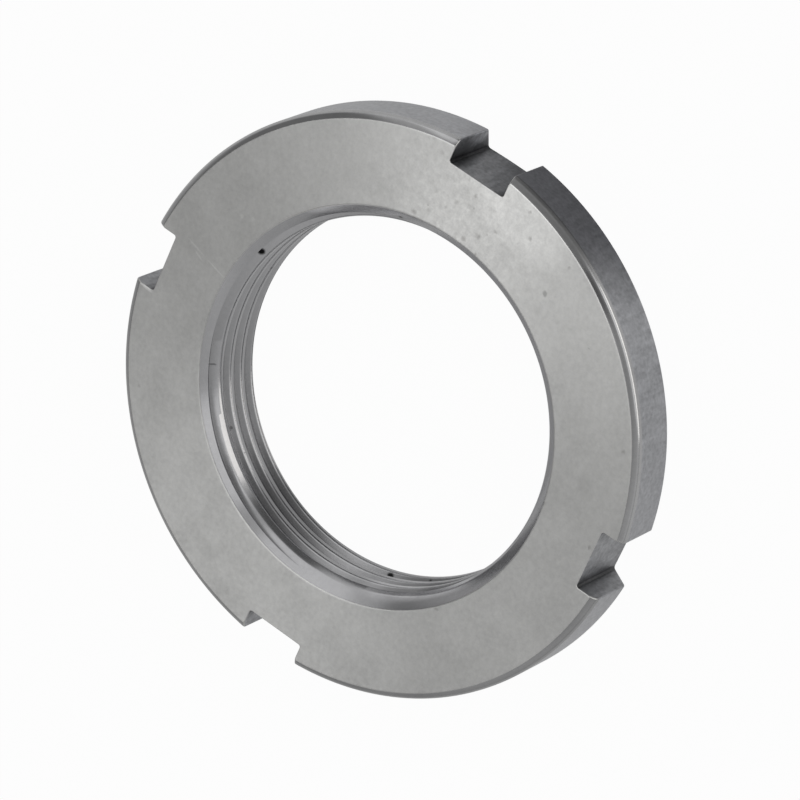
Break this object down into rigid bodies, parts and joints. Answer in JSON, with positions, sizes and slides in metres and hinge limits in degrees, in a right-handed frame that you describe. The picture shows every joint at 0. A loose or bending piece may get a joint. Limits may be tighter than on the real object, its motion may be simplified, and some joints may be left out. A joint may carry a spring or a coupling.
{
  "type": "lock nut",
  "caption": "Flat round lock nut with a fine right-hand thread, spanner slots in its rim and a large chamfer round its seating face.",
  "frame": {"origin": "centre of the seating face, on the thread's axis, with the nut lying flat on that face", "axes": "+Z along the thread's axis, from the seating face to the plain outer face; the four spanner slots lie on +X, +Y, -X and -Y"},
  "size_m": [0.0446, 0.0446, 0.007],
  "materials": {
    "ground_steel": "satin ground and turned steel"
  },
  "bodies": {
    "root": {"lock_nut": "ground_steel"}
  },
  "joints": []
}
